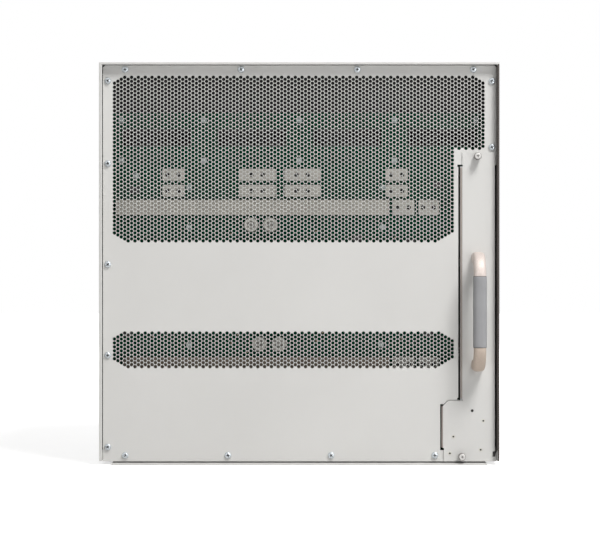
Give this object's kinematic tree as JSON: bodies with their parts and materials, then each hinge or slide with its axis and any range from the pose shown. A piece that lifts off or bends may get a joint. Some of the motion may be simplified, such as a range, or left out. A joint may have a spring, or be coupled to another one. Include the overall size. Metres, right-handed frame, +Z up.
{
  "type": "modular chassis switch",
  "caption": "Network switch chassis of folded sheet steel with perforated rear panel, plug-in cards, power supplies and a slide-out fan tray with bow handle.",
  "frame": {"origin": "centre of the base plate's underside", "axes": "+Z up, +Y out of the service side with the cards, -Y out of the perforated rear"},
  "size_m": [0.4394, 0.4666, 0.4422],
  "materials": {
    "sheet": "fine matt paint on folded steel",
    "plated_steel": "bright zinc plate",
    "handle_steel": "satin nickel plate",
    "grip_rubber": "matt grey sleeve",
    "board": "glass-fibre laminate with solder mask",
    "copper": "tinned copper bar",
    "tin": "tin plate",
    "connector": "moulded",
    "inner_steel": "galvanised",
    "face_paint": "satin paint",
    "card_face": "satin paint",
    "lever_plastic": "moulded, fine grain",
    "fan_plastic": "moulded",
    "supply_case": "galvanised",
    "latch_plastic": "moulded"
  },
  "bodies": {
    "chassis": {"base_plate": "sheet", "floor_pan": "sheet", "top_cover": "sheet", "intake_side_wall": "sheet", "exhaust_side_wall": "sheet", "rear_panel": "sheet", "rear_panel_screws": "plated_steel", "card_guide_intake": "inner_steel", "card_guide_exhaust": "inner_steel", "power_shelf": "inner_steel", "power_bay_partition": "inner_steel", "power_bay_roof": "inner_steel", "front_top_bezel": "face_paint", "fan_bay_front_plate": "face_paint", "backplane_board": "board", "board_screws": "plated_steel", "upper_busbar": "copper", "lower_busbar": "copper", "terminal_plates": "tin", "slot_connectors": "connector", "power_connectors": "connector", "fan_connector_socket": "connector", "slot_blank_1": "face_paint", "slot_blank_6": "face_paint", "slot_blank_7": "face_paint", "power_bay_blanks": "face_paint"},
    "fan_tray": {"fan_tray_case": "inner_steel", "fan_frames": "fan_plastic", "fan_tray_cover": "sheet", "fan_tray_handle": "handle_steel", "fan_tray_grip": "grip_rubber", "fan_tray_connector": "connector"},
    "fan_tray_thumbscrew_upper": {"fan_tray_thumbscrew_upper": "plated_steel"},
    "fan_tray_thumbscrew_lower": {"fan_tray_thumbscrew_lower": "plated_steel"},
    "fan_rotor_1": {"fan_rotor_1": "fan_plastic"},
    "fan_rotor_2": {"fan_rotor_2": "fan_plastic"},
    "fan_rotor_3": {"fan_rotor_3": "fan_plastic"},
    "fan_rotor_4": {"fan_rotor_4": "fan_plastic"},
    "fan_rotor_5": {"fan_rotor_5": "fan_plastic"},
    "fan_rotor_6": {"fan_rotor_6": "fan_plastic"},
    "supervisor_1": {"supervisor_1": "card_face"},
    "supervisor_1_lever_left": {"supervisor_1_lever_left": "lever_plastic"},
    "supervisor_1_lever_right": {"supervisor_1_lever_right": "lever_plastic"},
    "supervisor_2": {"supervisor_2": "card_face"},
    "supervisor_2_lever_left": {"supervisor_2_lever_left": "lever_plastic"},
    "supervisor_2_lever_right": {"supervisor_2_lever_right": "lever_plastic"},
    "line_card_1": {"line_card_1": "card_face"},
    "line_card_1_lever_left": {"line_card_1_lever_left": "lever_plastic"},
    "line_card_1_lever_right": {"line_card_1_lever_right": "lever_plastic"},
    "line_card_2": {"line_card_2": "card_face"},
    "line_card_2_lever_left": {"line_card_2_lever_left": "lever_plastic"},
    "line_card_2_lever_right": {"line_card_2_lever_right": "lever_plastic"},
    "power_supply_1": {"power_supply_1": "supply_case"},
    "power_supply_1_latch": {"power_supply_1_latch": "latch_plastic"},
    "power_supply_2": {"power_supply_2": "supply_case"},
    "power_supply_2_latch": {"power_supply_2_latch": "latch_plastic"},
    "power_supply_3": {"power_supply_3": "supply_case"},
    "power_supply_3_latch": {"power_supply_3_latch": "latch_plastic"},
    "power_supply_4": {"power_supply_4": "supply_case"},
    "power_supply_4_latch": {"power_supply_4_latch": "latch_plastic"}
  },
  "joints": [
    {"name": "fan_tray_slide", "type": "slide", "parent": "chassis", "child": "fan_tray", "axis": [0, -1, 0], "range_m": [0, 0.385]},
    {"name": "fan_tray_thumbscrew_upper_turn", "type": "hinge", "parent": "fan_tray", "child": "fan_tray_thumbscrew_upper", "pos_m": [0.19605, -0.1992, 0.33935], "axis": [0, -1, 0], "continuous": true},
    {"name": "fan_tray_thumbscrew_lower_turn", "type": "hinge", "parent": "fan_tray", "child": "fan_tray_thumbscrew_lower", "pos_m": [0.1788, -0.1992, 0.0091], "axis": [0, -1, 0], "continuous": true},
    {"name": "fan_rotor_1_spin", "type": "hinge", "parent": "fan_tray", "child": "fan_rotor_1", "pos_m": [0.1948, -0.0815, 0.0706], "axis": [1, 0, 0], "continuous": true},
    {"name": "fan_rotor_2_spin", "type": "hinge", "parent": "fan_tray", "child": "fan_rotor_2", "pos_m": [0.1948, 0.0685, 0.0706], "axis": [1, 0, 0], "continuous": true},
    {"name": "fan_rotor_3_spin", "type": "hinge", "parent": "fan_tray", "child": "fan_rotor_3", "pos_m": [0.1948, -0.0815, 0.1726], "axis": [1, 0, 0], "continuous": true},
    {"name": "fan_rotor_4_spin", "type": "hinge", "parent": "fan_tray", "child": "fan_rotor_4", "pos_m": [0.1948, 0.0685, 0.1726], "axis": [1, 0, 0], "continuous": true},
    {"name": "fan_rotor_5_spin", "type": "hinge", "parent": "fan_tray", "child": "fan_rotor_5", "pos_m": [0.1948, -0.0815, 0.2746], "axis": [1, 0, 0], "continuous": true},
    {"name": "fan_rotor_6_spin", "type": "hinge", "parent": "fan_tray", "child": "fan_rotor_6", "pos_m": [0.1948, 0.0685, 0.2746], "axis": [1, 0, 0], "continuous": true},
    {"name": "supervisor_1_slide", "type": "slide", "parent": "chassis", "child": "supervisor_1", "axis": [0, 1, 0], "range_m": [0, 0.36]},
    {"name": "supervisor_1_lever_left_swing", "type": "hinge", "parent": "supervisor_1", "child": "supervisor_1_lever_left", "pos_m": [-0.2082, 0.21, 0.212], "axis": [0, 0, 1], "range_deg": [0, 60]},
    {"name": "supervisor_1_lever_right_swing", "type": "hinge", "parent": "supervisor_1", "child": "supervisor_1_lever_right", "pos_m": [0.1692, 0.21, 0.212], "axis": [0, 0, -1], "range_deg": [0, 60]},
    {"name": "supervisor_2_slide", "type": "slide", "parent": "chassis", "child": "supervisor_2", "axis": [0, 1, 0], "range_m": [0, 0.36]},
    {"name": "supervisor_2_lever_left_swing", "type": "hinge", "parent": "supervisor_2", "child": "supervisor_2_lever_left", "pos_m": [-0.2082, 0.21, 0.1666], "axis": [0, 0, 1], "range_deg": [0, 60]},
    {"name": "supervisor_2_lever_right_swing", "type": "hinge", "parent": "supervisor_2", "child": "supervisor_2_lever_right", "pos_m": [0.1692, 0.21, 0.1666], "axis": [0, 0, -1], "range_deg": [0, 60]},
    {"name": "line_card_1_slide", "type": "slide", "parent": "chassis", "child": "line_card_1", "axis": [0, 1, 0], "range_m": [0, 0.36]},
    {"name": "line_card_1_lever_left_swing", "type": "hinge", "parent": "line_card_1", "child": "line_card_1_lever_left", "pos_m": [-0.2082, 0.21, 0.2574], "axis": [0, 0, 1], "range_deg": [0, 60]},
    {"name": "line_card_1_lever_right_swing", "type": "hinge", "parent": "line_card_1", "child": "line_card_1_lever_right", "pos_m": [0.1692, 0.21, 0.2574], "axis": [0, 0, -1], "range_deg": [0, 60]},
    {"name": "line_card_2_slide", "type": "slide", "parent": "chassis", "child": "line_card_2", "axis": [0, 1, 0], "range_m": [0, 0.36]},
    {"name": "line_card_2_lever_left_swing", "type": "hinge", "parent": "line_card_2", "child": "line_card_2_lever_left", "pos_m": [-0.2082, 0.21, 0.1212], "axis": [0, 0, 1], "range_deg": [0, 60]},
    {"name": "line_card_2_lever_right_swing", "type": "hinge", "parent": "line_card_2", "child": "line_card_2_lever_right", "pos_m": [0.1692, 0.21, 0.1212], "axis": [0, 0, -1], "range_deg": [0, 60]},
    {"name": "power_supply_1_slide", "type": "slide", "parent": "chassis", "child": "power_supply_1", "axis": [0, 1, 0], "range_m": [0, 0.36]},
    {"name": "power_supply_1_latch_press", "type": "slide", "parent": "power_supply_1", "child": "power_supply_1_latch", "axis": [1, 0, 0], "range_m": [0, 0.003], "stiffness_N_per_m": 150},
    {"name": "power_supply_2_slide", "type": "slide", "parent": "chassis", "child": "power_supply_2", "axis": [0, 1, 0], "range_m": [0, 0.36]},
    {"name": "power_supply_2_latch_press", "type": "slide", "parent": "power_supply_2", "child": "power_supply_2_latch", "axis": [1, 0, 0], "range_m": [0, 0.003], "stiffness_N_per_m": 150},
    {"name": "power_supply_3_slide", "type": "slide", "parent": "chassis", "child": "power_supply_3", "axis": [0, 1, 0], "range_m": [0, 0.36]},
    {"name": "power_supply_3_latch_press", "type": "slide", "parent": "power_supply_3", "child": "power_supply_3_latch", "axis": [1, 0, 0], "range_m": [0, 0.003], "stiffness_N_per_m": 150},
    {"name": "power_supply_4_slide", "type": "slide", "parent": "chassis", "child": "power_supply_4", "axis": [0, 1, 0], "range_m": [0, 0.36]},
    {"name": "power_supply_4_latch_press", "type": "slide", "parent": "power_supply_4", "child": "power_supply_4_latch", "axis": [1, 0, 0], "range_m": [0, 0.003], "stiffness_N_per_m": 150}
  ]
}
